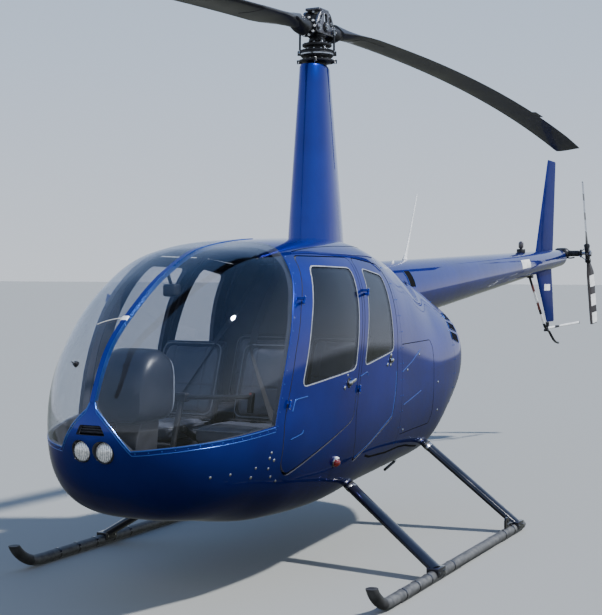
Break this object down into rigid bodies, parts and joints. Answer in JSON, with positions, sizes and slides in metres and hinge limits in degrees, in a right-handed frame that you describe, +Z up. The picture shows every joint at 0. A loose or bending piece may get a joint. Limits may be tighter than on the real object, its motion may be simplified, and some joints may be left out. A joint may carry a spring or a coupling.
{
  "type": "light four-seat helicopter",
  "caption": "Light piston helicopter on skids: bubble cabin with hinged doors, cowled engine, tall mast fairing, two-blade rotor, tail cone with fins and tail rotor.",
  "frame": {"origin": "on the ground, midway between the foremost and rearmost points of the machine at rest, on its middle plane", "axes": "+Z up, the nose towards -Y and the tail towards +Y, the machine's left side towards +X"},
  "size_m": [2.2, 11.1293, 3.28],
  "materials": {
    "body_paint": "gloss",
    "cowl_paint": "gloss",
    "tinted_pane": "gloss",
    "interior_trim": "matte",
    "seat_leather": "satin",
    "blade_skin": "satin",
    "head_steel": "satin",
    "strut_paint": "gloss",
    "skid_tube": "matte",
    "engine_metal": "matte",
    "exhaust_steel": "satin",
    "guard_paint": "satin",
    "lamp_glass": "gloss",
    "red_lens": "gloss",
    "green_lens": "gloss",
    "beacon_lens": "gloss",
    "yarn": "matte"
  },
  "bodies": {
    "airframe": {"lower_hull": "body_paint", "roof_frame": "body_paint", "windshield_strip": "body_paint", "windshield_left": "tinted_pane", "windshield_right": "tinted_pane", "cowl_left": "cowl_paint", "cowl_right": "cowl_paint", "aft_cowl": "cowl_paint", "mast_fairing": "cowl_paint", "firewall": "interior_trim", "cabin_floor": "interior_trim", "instrument_console": "interior_trim", "seat_front_left": "seat_leather", "seat_front_right": "seat_leather", "seat_rear_left": "seat_leather", "seat_rear_right": "seat_leather", "cyclic_stick": "head_steel", "engine_block": "engine_metal", "exhaust_muffler": "exhaust_steel", "swashplate_fixed": "head_steel", "tail_cone": "body_paint", "upper_fin": "cowl_paint", "lower_fin": "cowl_paint", "horizontal_stabilizer": "cowl_paint", "tail_rotor_guard": "guard_paint", "tail_skid": "strut_paint", "tail_gearbox": "head_steel", "skid_left": "skid_tube", "skid_right": "skid_tube", "front_cross_tube": "strut_paint", "rear_cross_tube": "strut_paint", "landing_lights": "lamp_glass", "nav_light_left": "red_lens", "nav_light_right": "green_lens", "beacon": "beacon_lens", "whip_antenna": "guard_paint", "yaw_string": "yarn"},
    "main_rotor": {"rotor_shaft": "head_steel", "swashplate_rotating": "head_steel", "main_rotor_hub": "head_steel", "main_blade_aft": "blade_skin", "main_blade_forward": "blade_skin"},
    "tail_rotor": {"tail_rotor_hub": "head_steel", "tail_blade_lower": "blade_skin", "tail_blade_upper": "blade_skin"},
    "fan": {"cooling_fan": "engine_metal"},
    "front_left_door": {"door_front_left": "body_paint", "window_front_left": "tinted_pane"},
    "front_right_door": {"door_front_right": "body_paint", "window_front_right": "tinted_pane"},
    "rear_left_door": {"door_rear_left": "body_paint", "window_rear_left": "tinted_pane"},
    "rear_right_door": {"door_rear_right": "body_paint", "window_rear_right": "tinted_pane"}
  },
  "joints": [
    {"name": "main_rotor_spin", "type": "hinge", "parent": "airframe", "child": "main_rotor", "pos_m": [0, -0.537, 3], "axis": [0, 0, 1], "continuous": true},
    {"name": "tail_rotor_spin", "type": "hinge", "parent": "airframe", "child": "tail_rotor", "pos_m": [0.262, 5.356, 1.88], "axis": [1, 0, 0], "continuous": true},
    {"name": "cooling_fan_spin", "type": "hinge", "parent": "airframe", "child": "fan", "pos_m": [0, 0.6, 1.01], "axis": [0, 1, 0], "continuous": true},
    {"name": "front_left_door_swing", "type": "hinge", "parent": "airframe", "child": "front_left_door", "pos_m": [0.61245, -2.109, 1], "axis": [0.0275, -0.3441, -0.9385], "range_deg": [0, 68]},
    {"name": "front_right_door_swing", "type": "hinge", "parent": "airframe", "child": "front_right_door", "pos_m": [-0.61245, -2.109, 1], "axis": [0.0275, 0.3441, 0.9385], "range_deg": [0, 68]},
    {"name": "rear_left_door_swing", "type": "hinge", "parent": "airframe", "child": "rear_left_door", "pos_m": [0.64933, -1.337, 1.02], "axis": [0.0379, -0.283, -0.9584], "range_deg": [0, 68]},
    {"name": "rear_right_door_swing", "type": "hinge", "parent": "airframe", "child": "rear_right_door", "pos_m": [-0.64933, -1.337, 1.02], "axis": [0.0379, 0.283, 0.9584], "range_deg": [0, 68]}
  ],
  "couplings": [
    {"joint": "tail_rotor_spin", "follows": "main_rotor_spin", "ratio": -5.946}
  ]
}
